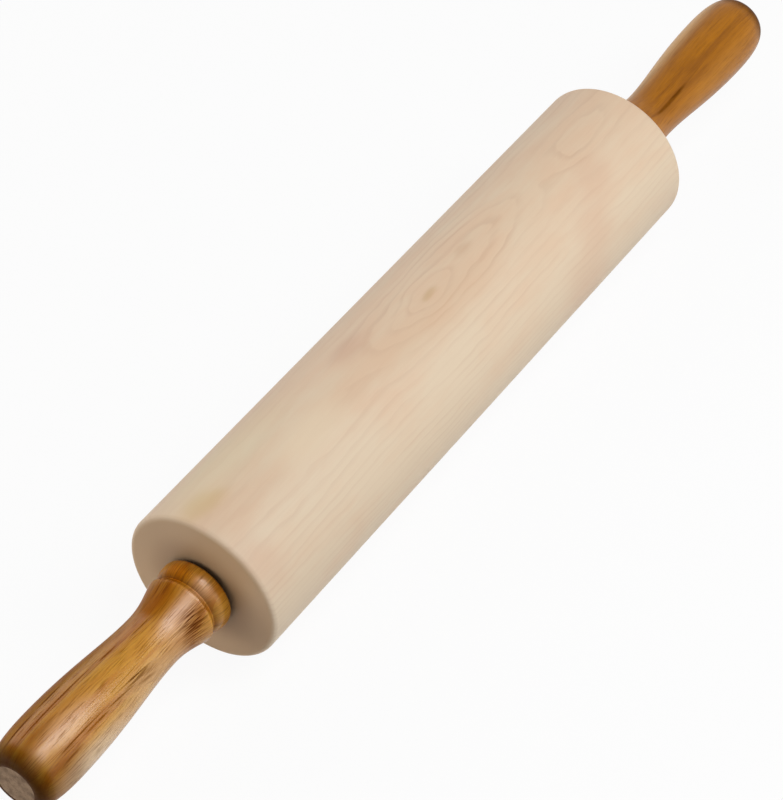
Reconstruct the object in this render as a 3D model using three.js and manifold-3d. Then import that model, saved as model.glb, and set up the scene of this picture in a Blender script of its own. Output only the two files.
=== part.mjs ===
// Rolling pin: a turned maple barrel that spins on two ball bearings round a steel axle,
// with a stained hardwood handle clamped on each end of the axle.
// Millimetres, +Z up. The pin lies along X, with the middle of the barrel at the origin.

import * as THREE from 'three';
import { mergeVertices } from 'three/addons/utils/BufferGeometryUtils.js';
import Module from 'manifold-3d';

const wasm = await Module();
wasm.setup();

// Barrel
const BARREL_LENGTH = 305;
const BARREL_DIAMETER = 69;
const BARREL_EDGE_RADIUS = 2.5;
const BARREL_SHOULDER = 3.1;       // radial step in the bore that the bearing bottoms on
const BEARING_RECESS = 0.8;        // bearing face below the barrel's end face

// Handle, with places measured from its collar face outwards unless named otherwise
const HANDLE_LENGTH = 111;
const HANDLE_GAP = 1.5;            // open gap between the barrel's end and the collar
const COLLAR_FACE_DIAMETER = 29;
const COLLAR_DIAMETER = 32;
const COLLAR_CREST_PLACE = 2.8;
const GROOVE_DIAMETER = 27.8;
const GROOVE_PLACE = 9.3;
const BELL_DIAMETER = 30.7;
const BELL_PLACE = 11.6;
const BELL_LIP = 0.7;              // width of the bell's narrow rounded rim
const WAIST_DIAMETER = 24.2;
const WAIST_PLACE = 29.5;
const SWELL_DIAMETER = 31.4;
const SWELL_TO_BUTT = 22.5;        // from the fattest point of the grip to the flat end
const BUTT_RIM = 0.5;              // narrow flat ring of handle round the plug

// How far each curve of the handle holds its end direction, as a share of its stretch
const COLLAR_FULLNESS = 0.6;
const BELL_FLARE = 0.3;            // along the handle, at the bell
const BELL_DROP = 0.4;             // towards the waist's radius, at the bell
const WAIST_HOLLOW = 0.4;
const GRIP_START = 0.27;
const GRIP_FULLNESS = 0.47;
const BUTT_FULLNESS = 0.6;
const BUTT_ROUNDING = 0.26;

// Axle and its fastenings
const AXLE_DIAMETER = 9.525;
const STUD_DIAMETER = 6.35;        // reduced, threaded end of the axle
const STUD_PROUD = 1.5;            // thread showing past the nut
const STUD_CHAMFER = 0.6;
const STUD_CLEARANCE = 0.25;       // stud to the handle's bore, the washer and the nut
const WASHER_DIAMETER = 15.9;
const WASHER_THICKNESS = 1.6;
const NUT_ACROSS_FLATS = 11.1;
const NUT_HEIGHT = 5.6;
const SPACER_WALL = 1.6;
const POCKET_CLEARANCE = 0.3;      // washer or nut corner to the wall of the handle's pocket
const PLUG_LENGTH = 8;
const PLUG_HEADROOM = 3;           // stud's end to the plug
const PLUG_SEAT = 0.75;            // radial step in the handle that the plug bottoms on
const PLUG_CHAMFER = 0.4;

// Ball bearing
const BALL_COUNT = 7;
const BALL_DIAMETER = 3.97;
const BALL_CLEARANCE = 0.2;        // ball to either groove
const INNER_RACE_WALL = 0.95;      // metal under the inner groove
const OUTER_RACE_WALL = 1.0;       // metal behind the outer groove
const GROOVE_DEPTH = 0.83;
const CAGE_WALL = 1.3;
const CAGE_WEB = 0.4;              // cage past the closed side of its pockets
const CAGE_LIP = 1.1;              // cage past the balls' centres on its open side
const CAGE_CLEARANCE = 0.3;        // ball to its pocket
const SHIELD_THICKNESS = 0.35;
const SHIELD_RECESS = 0.25;        // shield below the bearing's face
const SHIELD_CLEARANCE = 0.3;      // shield to the cage and to the inner race
const SHIELD_SEAT = 0.5;           // radial step in the outer race that holds the shield

// Fits
const FIT_GAP = 0.05;              // radial gap of a pressed or seated piece
const SEAT_GAP = 0.05;             // gap along the axle between stacked pieces

// Roundness: every turned piece has its flats on the true radius, with one flat straight down
const ROUND_SIDES = 32;
const CURVE_STEPS = 5;
const ARC_STEPS = 3;
const BALL_SIDES = 10;
const BALL_RINGS = 6;
const POCKET_SIDES = 12;
const POCKET_RINGS = 8;
const WELD_DISTANCE = 1e-5;        // corners closer than this are one corner

// Sizes that follow
const barrelRadius = BARREL_DIAMETER / 2;
const barrelEnd = BARREL_LENGTH / 2;
const axleRadius = AXLE_DIAMETER / 2;
const studRadius = STUD_DIAMETER / 2;
const studHole = studRadius + STUD_CLEARANCE;

const ballRadius = BALL_DIAMETER / 2;
const grooveRadius = ballRadius + BALL_CLEARANCE;
const raceBore = axleRadius + FIT_GAP;
const pitchRadius = raceBore + INNER_RACE_WALL + grooveRadius;
const innerLand = pitchRadius - grooveRadius + GROOVE_DEPTH;
const outerLand = pitchRadius + grooveRadius - GROOVE_DEPTH;
const bearingRadius = pitchRadius + grooveRadius + OUTER_RACE_WALL;
const pocketRadius = ballRadius + CAGE_CLEARANCE;
const cageTop = pocketRadius + CAGE_WEB;
const shieldInside = cageTop + SHIELD_CLEARANCE;
const shieldOutside = shieldInside + SHIELD_THICKNESS;
const bearingHalf = shieldOutside + SHIELD_RECESS;
const bearingFace = barrelEnd - BEARING_RECESS;
const bearingPlace = bearingFace - bearingHalf;
const bearingSeat = bearingRadius + FIT_GAP;
const barrelBore = bearingRadius - BARREL_SHOULDER;

const collarFace = barrelEnd + HANDLE_GAP;
const nutCorner = NUT_ACROSS_FLATS / Math.sqrt(3);
const pocketWall = Math.max(WASHER_DIAMETER / 2, nutCorner) + POCKET_CLEARANCE;
const plugWall = pocketWall + PLUG_SEAT;
const plugFloor = HANDLE_LENGTH - PLUG_LENGTH;
const studEnd = plugFloor - PLUG_HEADROOM;
const nutOuterFace = studEnd - STUD_PROUD;
const nutInnerFace = nutOuterFace - NUT_HEIGHT;
const washerOuterFace = nutInnerFace - SEAT_GAP;
const washerInnerFace = washerOuterFace - WASHER_THICKNESS;
const pocketFloor = washerInnerFace - SEAT_GAP;

// Materials
const maple = new THREE.MeshStandardMaterial({ color: 0xdec7ad, roughness: 0.6, metalness: 0 });
const stainedWood = new THREE.MeshStandardMaterial({ color: 0xb57a35, roughness: 0.3, metalness: 0 });
const rawWood = new THREE.MeshStandardMaterial({ color: 0x9c8672, roughness: 0.8, metalness: 0 });
const axleSteel = new THREE.MeshStandardMaterial({ color: 0xb4b7ba, roughness: 0.35, metalness: 1 });
const zincSteel = new THREE.MeshStandardMaterial({ color: 0xc3c5c2, roughness: 0.45, metalness: 1 });
const bearingSteel = new THREE.MeshStandardMaterial({ color: 0xcdd0d3, roughness: 0.2, metalness: 1 });
const nylon = new THREE.MeshStandardMaterial({ color: 0xe6dfcd, roughness: 0.6, metalness: 0 });

function part(name, geometry, material) {
  const mesh = new THREE.Mesh(geometry, material);
  mesh.name = name;
  return mesh;
}

// Turns a closed outline of radius (x) and place along the axle (y) round the X axis.
// The outline runs counterclockwise: outwards along its outer wall and back along its inner one.
function turned(outline, steps = ARC_STEPS) {
  const flatToCorner = 1 / Math.cos(Math.PI / ROUND_SIDES);
  const points = outline.getPoints(steps).map((p) => new THREE.Vector2(p.x * flatToCorner, p.y));
  const geometry = new THREE.LatheGeometry(points, ROUND_SIDES, Math.PI / ROUND_SIDES);
  geometry.rotateZ(-Math.PI / 2);
  return geometry;
}

// A plain ring or tube
function ring(innerRadius, outerRadius, start, end) {
  const outline = new THREE.Path();
  outline.moveTo(innerRadius, start);
  outline.lineTo(outerRadius, start);
  outline.lineTo(outerRadius, end);
  outline.lineTo(innerRadius, end);
  outline.lineTo(innerRadius, start);
  return turned(outline);
}

function toSolid(geometry) {
  const bare = geometry.clone();
  bare.deleteAttribute('normal');
  bare.deleteAttribute('uv');
  const merged = mergeVertices(bare, WELD_DISTANCE);
  const vertProperties = new Float32Array(merged.attributes.position.array);
  const triVerts = new Uint32Array(merged.index.array);
  return new wasm.Manifold(new wasm.Mesh({ numProp: 3, vertProperties, triVerts }));
}

function toGeometry(solid) {
  const mesh = solid.getMesh();
  const geometry = new THREE.BufferGeometry();
  geometry.setAttribute('position', new THREE.BufferAttribute(mesh.vertProperties, 3));
  geometry.setIndex(new THREE.BufferAttribute(mesh.triVerts, 1));
  geometry.computeVertexNormals();
  return geometry;
}

// Barrel: a cylinder with rounded rims, bored through and counterbored at both ends for a bearing
function makeBarrel() {
  const rim = barrelRadius - BARREL_EDGE_RADIUS;
  const roundStart = barrelEnd - BARREL_EDGE_RADIUS;
  const shoulder = bearingPlace - bearingHalf - SEAT_GAP;
  const outline = new THREE.Path();
  outline.moveTo(bearingSeat, -barrelEnd);
  outline.lineTo(rim, -barrelEnd);
  outline.absarc(rim, -roundStart, BARREL_EDGE_RADIUS, -Math.PI / 2, 0, false);
  outline.lineTo(barrelRadius, roundStart);
  outline.absarc(rim, roundStart, BARREL_EDGE_RADIUS, 0, Math.PI / 2, false);
  outline.lineTo(bearingSeat, barrelEnd);
  outline.lineTo(bearingSeat, shoulder);
  outline.lineTo(barrelBore, shoulder);
  outline.lineTo(barrelBore, -shoulder);
  outline.lineTo(bearingSeat, -shoulder);
  outline.lineTo(bearingSeat, -barrelEnd);
  return part('barrel', turned(outline), maple);
}

// Axle: a plain rod whose shoulders meet the handles' collars, with a thinner stud at each end
function makeAxle() {
  const shoulder = collarFace - SEAT_GAP;
  const tip = collarFace + studEnd;
  const outline = new THREE.Path();
  outline.moveTo(0, -tip);
  outline.lineTo(studRadius - STUD_CHAMFER, -tip);
  outline.lineTo(studRadius, -tip + STUD_CHAMFER);
  outline.lineTo(studRadius, -shoulder);
  outline.lineTo(axleRadius, -shoulder);
  outline.lineTo(axleRadius, shoulder);
  outline.lineTo(studRadius, shoulder);
  outline.lineTo(studRadius, tip - STUD_CHAMFER);
  outline.lineTo(studRadius - STUD_CHAMFER, tip);
  outline.lineTo(0, tip);
  return part('axle_rod', turned(outline), axleSteel);
}

// Handle: a rounded collar bead, a groove, a bell that flares down to the waist, a long swelling
// grip and a rounded butt, with a bore for the stud and a stepped pocket for nut and plug
function makeHandle(side) {
  const collar = COLLAR_DIAMETER / 2;
  const groove = GROOVE_DIAMETER / 2;
  const bell = BELL_DIAMETER / 2;
  const waist = WAIST_DIAMETER / 2;
  const swell = SWELL_DIAMETER / 2;
  const butt = plugWall + BUTT_RIM;
  const swellPlace = HANDLE_LENGTH - SWELL_TO_BUTT;
  const mix = THREE.MathUtils.lerp;

  const outline = new THREE.Path();
  outline.moveTo(studHole, 0);
  outline.lineTo(COLLAR_FACE_DIAMETER / 2, 0);
  outline.quadraticCurveTo(collar, 0, collar, COLLAR_CREST_PLACE);
  const collarTurn = mix(COLLAR_CREST_PLACE, GROOVE_PLACE, COLLAR_FULLNESS);
  outline.quadraticCurveTo(collar, collarTurn, groove, GROOVE_PLACE);
  outline.lineTo(bell, BELL_PLACE);
  outline.lineTo(bell, BELL_PLACE + BELL_LIP);
  outline.bezierCurveTo(
    mix(bell, waist, BELL_DROP), mix(BELL_PLACE, WAIST_PLACE, BELL_FLARE),
    waist, mix(WAIST_PLACE, BELL_PLACE, WAIST_HOLLOW),
    waist, WAIST_PLACE,
  );
  outline.bezierCurveTo(
    waist, mix(WAIST_PLACE, swellPlace, GRIP_START),
    swell, mix(swellPlace, WAIST_PLACE, GRIP_FULLNESS),
    swell, swellPlace,
  );
  outline.bezierCurveTo(
    swell, mix(swellPlace, HANDLE_LENGTH, BUTT_FULLNESS),
    mix(swell, butt, BUTT_ROUNDING), HANDLE_LENGTH,
    butt, HANDLE_LENGTH,
  );
  outline.lineTo(plugWall, HANDLE_LENGTH);
  outline.lineTo(plugWall, plugFloor - SEAT_GAP);
  outline.lineTo(pocketWall, plugFloor - SEAT_GAP);
  outline.lineTo(pocketWall, pocketFloor);
  outline.lineTo(studHole, pocketFloor);
  outline.lineTo(studHole, 0);
  const mesh = part(`${side}_handle`, turned(outline, CURVE_STEPS), stainedWood);
  mesh.position.x = collarFace;
  return mesh;
}

// Plug: a wooden disc glued flush into the butt, over the nut
function makePlug(side) {
  const radius = plugWall - FIT_GAP;
  const outline = new THREE.Path();
  outline.moveTo(0, plugFloor);
  outline.lineTo(radius - PLUG_CHAMFER, plugFloor);
  outline.lineTo(radius, plugFloor + PLUG_CHAMFER);
  outline.lineTo(radius, HANDLE_LENGTH);
  outline.lineTo(0, HANDLE_LENGTH);
  const mesh = part(`${side}_plug`, turned(outline), rawWood);
  mesh.position.x = collarFace;
  return mesh;
}

function makeWasher(side) {
  const geometry = ring(studHole, WASHER_DIAMETER / 2, washerInnerFace, washerOuterFace);
  const mesh = part(`${side}_washer`, geometry, zincSteel);
  mesh.position.x = collarFace;
  return mesh;
}

// Nut: a hexagon with its corners turned off at both faces
function makeNut(side) {
  const corners = [0, 1, 2, 3, 4, 5].map((corner) => {
    const angle = corner * Math.PI / 3;
    return new THREE.Vector2(nutCorner * Math.cos(angle), nutCorner * Math.sin(angle));
  });
  const hexagon = new THREE.Shape(corners);
  const hole = new THREE.Path();
  hole.absarc(0, 0, studHole, 0, 2 * Math.PI, true);
  hexagon.holes.push(hole);
  const block = new THREE.ExtrudeGeometry(hexagon, { depth: NUT_HEIGHT, bevelEnabled: false });
  block.rotateY(Math.PI / 2);

  const flat = NUT_ACROSS_FLATS / 2;
  const chamfer = nutCorner - flat;
  const outline = new THREE.Path();
  outline.moveTo(0, 0);
  outline.lineTo(flat, 0);
  outline.lineTo(flat + 2 * chamfer, chamfer);
  outline.lineTo(flat + 2 * chamfer, NUT_HEIGHT - chamfer);
  outline.lineTo(flat, NUT_HEIGHT);
  outline.lineTo(0, NUT_HEIGHT);
  const geometry = toGeometry(toSolid(block).intersect(toSolid(turned(outline))));
  const mesh = part(`${side}_nut`, geometry, zincSteel);
  mesh.position.x = collarFace + nutInnerFace;
  return mesh;
}

// Spacer: a sleeve on the axle that holds the collar off the bearing's inner race
function makeSpacer(side) {
  const outside = Math.min(raceBore + SPACER_WALL, innerLand);
  const geometry = ring(raceBore, outside, bearingFace + SEAT_GAP, collarFace - SEAT_GAP);
  return part(`${side}_spacer`, geometry, zincSteel);
}

// Half the width of a ball groove where it meets the land beside it
function grooveHalfWidth(land) {
  return Math.sqrt(grooveRadius ** 2 - (land - pitchRadius) ** 2);
}

function makeInnerRace(side) {
  const half = grooveHalfWidth(innerLand);
  const edge = Math.atan2(half, innerLand - pitchRadius);
  const outline = new THREE.Path();
  outline.moveTo(raceBore, -bearingHalf);
  outline.lineTo(innerLand, -bearingHalf);
  outline.lineTo(innerLand, -half);
  outline.absarc(pitchRadius, 0, grooveRadius, -edge, edge, true);
  outline.lineTo(innerLand, bearingHalf);
  outline.lineTo(raceBore, bearingHalf);
  outline.lineTo(raceBore, -bearingHalf);
  return part(`${side}_inner_race`, turned(outline), bearingSteel);
}

function makeOuterRace(side) {
  const half = grooveHalfWidth(outerLand);
  const edge = Math.atan2(half, outerLand - pitchRadius);
  const seat = outerLand + SHIELD_SEAT;
  const seatStart = shieldInside - SEAT_GAP;
  const outline = new THREE.Path();
  outline.moveTo(seat, -bearingHalf);
  outline.lineTo(bearingRadius, -bearingHalf);
  outline.lineTo(bearingRadius, bearingHalf);
  outline.lineTo(seat, bearingHalf);
  outline.lineTo(seat, seatStart);
  outline.lineTo(outerLand, seatStart);
  outline.lineTo(outerLand, half);
  outline.absarc(pitchRadius, 0, grooveRadius, edge, -edge, true);
  outline.lineTo(outerLand, -seatStart);
  outline.lineTo(seat, -seatStart);
  outline.lineTo(seat, -bearingHalf);
  return part(`${side}_outer_race`, turned(outline), bearingSteel);
}

function ballPlaces() {
  return Array.from({ length: BALL_COUNT }, (_, index) => {
    const angle = 2 * Math.PI * index / BALL_COUNT;
    return new THREE.Vector3(0, pitchRadius * Math.sin(angle), pitchRadius * Math.cos(angle));
  });
}

function makeBalls(side) {
  return ballPlaces().map((place, index) => {
    const geometry = new THREE.SphereGeometry(ballRadius, BALL_SIDES, BALL_RINGS);
    const ball = part(`${side}_ball_${index + 1}`, geometry, bearingSteel);
    ball.position.copy(place);
    return ball;
  });
}

// Cage: a crown-shaped nylon ring with a round pocket for each ball, open on one side
function makeCage(side) {
  const crown = ring(pitchRadius - CAGE_WALL / 2, pitchRadius + CAGE_WALL / 2, -CAGE_LIP, cageTop);
  let solid = toSolid(crown);
  for (const place of ballPlaces()) {
    const pocket = new THREE.SphereGeometry(pocketRadius, POCKET_SIDES, POCKET_RINGS);
    pocket.translate(place.x, place.y, place.z);
    solid = solid.subtract(toSolid(pocket));
  }
  return part(`${side}_cage`, toGeometry(solid), nylon);
}

// Shield: a thin steel ring seated in the outer race, clear of the inner one
function makeShield(name, start, end) {
  const geometry = ring(innerLand + SHIELD_CLEARANCE, outerLand + SHIELD_SEAT - FIT_GAP, start, end);
  return part(name, geometry, zincSteel);
}

function makeBearing(side) {
  const bearing = new THREE.Group();
  bearing.add(makeInnerRace(side), makeOuterRace(side), makeCage(side), ...makeBalls(side));
  bearing.add(makeShield(`${side}_outer_shield`, shieldInside, shieldOutside));
  bearing.add(makeShield(`${side}_inner_shield`, -shieldOutside, -shieldInside));
  bearing.position.x = bearingPlace;
  return bearing;
}

// One end of the pin, built pointing along +X
function makeEnd(side) {
  const end = new THREE.Group();
  end.add(makeBearing(side), makeSpacer(side), makeHandle(side));
  end.add(makeWasher(side), makeNut(side), makePlug(side));
  return end;
}

const rollingPin = new THREE.Group();
const rightEnd = makeEnd('right');
const leftEnd = makeEnd('left');
leftEnd.rotation.z = Math.PI;
rollingPin.add(makeBarrel(), makeAxle(), leftEnd, rightEnd);

export default rollingPin;
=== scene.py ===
"""A rolling pin with ball bearings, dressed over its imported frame.

A maple barrel turns on two ball bearings round a steel axle, and a stained handle is clamped on
each end of the axle by a nut under a wooden plug. Outlines are written in millimetres as (place
along the pin, radius); the pin lies along X, Z is up, and meshes are stored in metres.
"""
import logging
import math
from collections.abc import Sequence
from dataclasses import dataclass
from enum import Enum

import bpy
import numpy as np
from bpy.types import Material, Node, NodeSocket, NodeTree, Object
from mathutils import Matrix, Vector


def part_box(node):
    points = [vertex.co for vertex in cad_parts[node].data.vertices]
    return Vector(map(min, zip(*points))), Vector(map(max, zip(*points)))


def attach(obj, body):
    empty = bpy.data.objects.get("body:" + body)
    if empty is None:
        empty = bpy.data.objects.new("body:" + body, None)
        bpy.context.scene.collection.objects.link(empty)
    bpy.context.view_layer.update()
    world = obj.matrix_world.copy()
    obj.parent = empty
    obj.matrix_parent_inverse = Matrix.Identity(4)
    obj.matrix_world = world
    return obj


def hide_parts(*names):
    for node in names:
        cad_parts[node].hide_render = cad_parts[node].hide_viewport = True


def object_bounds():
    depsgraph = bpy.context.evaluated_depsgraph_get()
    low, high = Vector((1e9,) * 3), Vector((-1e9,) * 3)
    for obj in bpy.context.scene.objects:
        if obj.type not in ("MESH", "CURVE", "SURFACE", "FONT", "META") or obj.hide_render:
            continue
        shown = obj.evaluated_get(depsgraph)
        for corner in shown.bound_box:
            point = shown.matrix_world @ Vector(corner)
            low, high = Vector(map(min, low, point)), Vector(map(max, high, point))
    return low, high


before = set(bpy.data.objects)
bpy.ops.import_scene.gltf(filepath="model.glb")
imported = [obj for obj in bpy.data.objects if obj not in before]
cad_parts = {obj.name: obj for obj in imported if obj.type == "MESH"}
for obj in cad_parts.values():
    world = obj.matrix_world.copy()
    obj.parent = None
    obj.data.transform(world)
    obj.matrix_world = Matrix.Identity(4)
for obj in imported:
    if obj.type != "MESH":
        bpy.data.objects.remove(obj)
CAD_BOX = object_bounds()

MM = 0.001
FIT_GAP_MM = 0.05
DOUBLED_MM = 1e-7

log = logging.getLogger("rolling_pin")


class Side(Enum):
    """The two ends of the pin, by the sign of X."""

    LEFT = -1
    RIGHT = 1

    @property
    def prefix(self) -> str:
        """First word of the names of this end's CAD nodes."""
        return self.name.lower()

    def node(self, part: str) -> str:
        """Name of this end's CAD node for a part."""
        return f"{self.prefix}_{part}"


class Body(Enum):
    """Bodies of the frame that are shared by both ends."""

    FIXED = "axle_and_handles"
    TURNING = "barrel_set"


class Slot(Enum):
    """Material slots of the record."""

    MAPLE = "maple"
    STAINED = "stained_wood"
    RAW = "raw_wood"
    AXLE = "axle_steel"
    ZINC = "zinc_steel"
    BEARING = "bearing_steel"


# Shared helpers for colours, nodes and surfaces


def hex_to_linear(colour: str) -> tuple[float, float, float, float]:
    """Turn an sRGB hex colour into the linear values that shaders take.

    Args:
        colour: six hex digits after a hash sign.

    Returns:
        Linear red, green and blue, with an alpha of 1.
    """
    srgb = np.array([int(colour[i:i + 2], 16) for i in (1, 3, 5)]) / 255
    rgb = np.where(srgb <= 0.04045, srgb / 12.92, ((srgb + 0.055) / 1.055) ** 2.4)
    return (*rgb.tolist(), 1.0)


def add_node(tree: NodeTree, kind: str, inputs: dict | None = None, **settings) -> Node:
    """Add a node to a tree, set it up and link it.

    Args:
        tree: node tree that gets the node.
        kind: Blender's type name for the node, without the ShaderNode that they all start with.
        inputs: what goes into each input, by name or number: a plain value, a socket, or another
            node, which stands for its first output in use.
        settings: the node's own properties.

    Returns:
        The new node.
    """
    node = tree.nodes.new(f"ShaderNode{kind}")
    for name, value in settings.items():
        setattr(node, name, value)
    for key, value in (inputs or {}).items():
        if isinstance(key, int):
            socket = node.inputs[key]
        else:
            socket = next(s for s in node.inputs if s.name == key and s.enabled)
        if isinstance(value, Node):
            value = next(s for s in value.outputs if s.enabled)
        if isinstance(value, NodeSocket):
            tree.links.new(value, socket)
        else:
            socket.default_value = value
    return node


def start_material(name: str) -> tuple[Material, NodeTree]:
    """Make a material with an empty node tree.

    Args:
        name: what the material is and how its surface was made.

    Returns:
        The material and its tree.
    """
    material = bpy.data.materials.new(name)
    material.use_nodes = True
    material.node_tree.nodes.clear()
    return material, material.node_tree


def bezier(*controls: tuple[float, float], steps: int) -> np.ndarray:
    """Points on a Bezier curve: its controls weighed by Bernstein's terms for their number.

    Args:
        controls: two to four control points.
        steps: how many points, both ends included.

    Returns:
        An array of points, one a row.
    """
    share = np.linspace(0.0, 1.0, steps)[:, None]
    degree = len(controls) - 1
    term = np.arange(degree + 1)
    count = np.array([math.comb(degree, k) for k in term])
    return (count * share ** term * (1 - share) ** (degree - term)) @ np.array(controls, dtype=float)


def eased(corners: list[tuple[float, float]], cut: float | list[float], steps: int = 5) -> np.ndarray:
    """Round the corners of a closed outline.

    Each corner gives way to a quadratic curve, which leaves one edge and joins the next at the
    distance `cut` from the corner and has the corner as its middle control.

    Args:
        corners: the outline's corners in order.
        cut: that distance, for all corners or one by one; a corner with 0 stays sharp.
        steps: points on each round.

    Returns:
        The rounded outline, without doubled points.
    """
    corner = np.array(corners, dtype=float)
    reach = np.broadcast_to(np.asarray(cut, dtype=float), len(corner))[:, None]
    to_last = np.roll(corner, 1, axis=0) - corner
    to_next = np.roll(corner, -1, axis=0) - corner
    leave = corner + reach * to_last / np.linalg.norm(to_last, axis=1, keepdims=True)
    join = corner + reach * to_next / np.linalg.norm(to_next, axis=1, keepdims=True)
    share = np.linspace(0.0, 1.0, steps)[None, :, None]
    rounds = ((1 - share) ** 2 * leave[:, None] + 2 * share * (1 - share) * corner[:, None]
              + share ** 2 * join[:, None])
    return undoubled(rounds.reshape(-1, 2))


def undoubled(outline: np.ndarray) -> np.ndarray:
    """Drop each point of an outline that repeats the one before it.

    Args:
        outline: points, one a row.

    Returns:
        The points that are left.
    """
    step = np.linalg.norm(np.diff(outline, axis=0), axis=1)
    return outline[np.r_[True, step > DOUBLED_MM]]


def turned(place: np.ndarray, radius: np.ndarray, sides: int) -> np.ndarray:
    """Carry an outline round the X axis.

    Row i and column j hold the point (x_i, r_ij cos t_j, r_ij sin t_j), where the angles t_j
    share a full turn evenly.

    Args:
        place: place of each row along X.
        radius: radius of each row, or of each row and column for a shape that isn't round.
        sides: number of columns.

    Returns:
        A grid of points, rows by columns by 3.
    """
    angle = np.arange(sides) * 2 * math.pi / sides
    reach = radius[:, None] if radius.ndim == 1 else radius
    reach = np.broadcast_to(reach, (len(place), sides))
    along = np.broadcast_to(place[:, None], (len(place), sides))
    return np.stack([along, reach * np.cos(angle), reach * np.sin(angle)], axis=-1)


def skin(
    name: str, grid: np.ndarray, ring: bool, crease: float = 32.0, marks: dict[str, np.ndarray] | None = None
) -> Object:
    """Make a closed mesh piece from a grid of points.

    Columns always close on themselves. Rows close too on a ring; otherwise the first and last row
    are poles, and each shrinks to one vertex with triangles round it. The faces are turned round
    if the volume that they enclose comes out negative, so that they point outwards.

    Args:
        name: name of the piece.
        grid: points in millimetres, rows by columns by 3.
        ring: whether the last row joins the first.
        crease: least angle in degrees between faces that shows as an edge.
        marks: values of each row, kept as point attributes for the material.

    Returns:
        The piece, linked into the scene, with its place in its mesh.
    """
    rows, columns = grid.shape[:2]
    number = np.arange(rows * columns).reshape(rows, columns)
    if not ring:
        number[0] = number[0, 0]
        number[-1] = number[-1, 0]
    used, number = np.unique(number, return_inverse=True)
    number = number.reshape(rows, columns)
    points = grid.reshape(-1, 3)[used] * MM

    upper = number if ring else number[:-1]
    lower = np.roll(number, -1, axis=0) if ring else number[1:]
    quads = np.stack([upper, np.roll(upper, -1, 1), np.roll(lower, -1, 1), lower], -1).reshape(-1, 4)
    if ring:
        faces = [quads]
    else:
        faces = [quads[:columns, 1:], quads[columns:-columns], quads[-columns:, :3]]
    a, b, c, d = points[quads].transpose(1, 0, 2)
    volume = np.einsum("ij,ij->", a, np.cross(b, c)) + np.einsum("ij,ij->", a, np.cross(c, d))
    if volume < 0:
        faces = [face[:, ::-1] for face in faces]

    mesh = bpy.data.meshes.new(name)
    mesh.from_pydata(points.tolist(), [], [corner for face in faces for corner in face.tolist()])
    mesh.polygons.foreach_set("use_smooth", np.ones(len(mesh.polygons), dtype=bool))
    mesh.set_sharp_from_angle(angle=math.radians(crease))
    for mark, values in (marks or {}).items():
        spread = np.broadcast_to(values[:, None], (rows, columns)).reshape(-1)[used]
        mesh.attributes.new(mark, "FLOAT", "POINT").data.foreach_set("value", spread.astype(np.float32))
    mesh.update()
    piece = bpy.data.objects.new(name, mesh)
    bpy.context.scene.collection.objects.link(piece)
    return piece


def end_grain_of(outline: np.ndarray, ring: bool) -> np.ndarray:
    """How far a turned wooden surface lies across the grain, at each point of its outline.

    The grain runs along the axis, so the value is the share of each step that goes across the axis,
    taken over the points on both sides: 0 along a side, 1 on an end face.

    Args:
        outline: points as (place, radius).
        ring: whether the last point joins the first.

    Returns:
        One value from 0 to 1 for each point.
    """
    if ring:
        step = np.roll(outline, -1, axis=0) - np.roll(outline, 1, axis=0)
    else:
        step = np.gradient(outline, axis=0)
    return np.abs(step[:, 1]) / np.linalg.norm(step, axis=1)


def install(
    piece: Object, finish: Material, body: str, slot: Slot, *nodes: str
) -> Object:
    """Dress a piece, hang it on its body and let it stand for its CAD nodes.

    Args:
        piece: the finished mesh piece.
        finish: its material.
        body: name of the body that carries it.
        slot: its material slot in the record; not used.
        nodes: CAD nodes that it replaces.

    Returns:
        The piece.
    """
    piece.data.materials.append(finish)
    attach(piece, body)
    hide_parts(*nodes)
    faces = len(piece.data.polygons)
    log.info("%s: %d faces on %s, in place of %s", piece.name, faces, body, ", ".join(nodes))
    return piece


def node_span(node: str) -> tuple[np.ndarray, np.ndarray]:
    """Lowest and highest corner of a CAD node at rest, in millimetres."""
    low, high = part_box(node)
    return np.array(low) / MM, np.array(high) / MM


# Finishes


# Times this, a place keeps only what lies across the pin.
ACROSS = (0.0, 1.0, 1.0)


def place_in_mm(tree: NodeTree) -> Node:
    """Add the nodes that give a point's place on the pin at rest.

    Args:
        tree: node tree of the material.

    Returns:
        The node that gives the place, in millimetres.
    """
    where = add_node(tree, "TexCoord")
    return add_node(tree, "VectorMath", {0: where.outputs["Object"], "Scale": 1 / MM}, operation="SCALE")


def sized_noise(
    tree: NodeTree, place: Node, size_mm: tuple[float, float, float], detail: float,
    roughness: float = 0.5
) -> Node:
    """Add noise whose waves have given sizes along, across and up the pin.

    Args:
        tree: node tree of the material.
        place: place in millimetres.
        size_mm: size of the waves along X, Y and Z.
        detail: how many finer layers are added.
        roughness: how strong those layers are.

    Returns:
        The noise node.
    """
    shrink = tuple(1 / size for size in size_mm)
    scaled = add_node(tree, "VectorMath", {0: place, 1: shrink}, operation="MULTIPLY")
    return add_node(tree, "TexNoise", {"Vector": scaled, "Scale": 1.0, "Detail": detail,
                                       "Roughness": roughness})


def layered(
    tree: NodeTree, base: str, layers: Sequence[tuple[Node, str]]
) -> Node:
    """Lay colours over a base colour, one after the other.

    Args:
        tree: node tree of the material.
        base: the lowest colour.
        layers: the share and the colour of each layer, lowest first.

    Returns:
        The node that gives the colour of them all.
    """
    colour = hex_to_linear(base)
    for share, over in layers:
        colour = add_node(tree, "Mix", {"Factor": share, "A": colour, "B": hex_to_linear(over)},
                          data_type="RGBA")
    return colour


@dataclass(frozen=True)
class TurnedFace:
    """The round face that a material's marks lie on: its tree, its places, and sizes in millimetres."""

    tree: NodeTree
    place: Node
    radius_mm: float
    depth_mm: float


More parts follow.
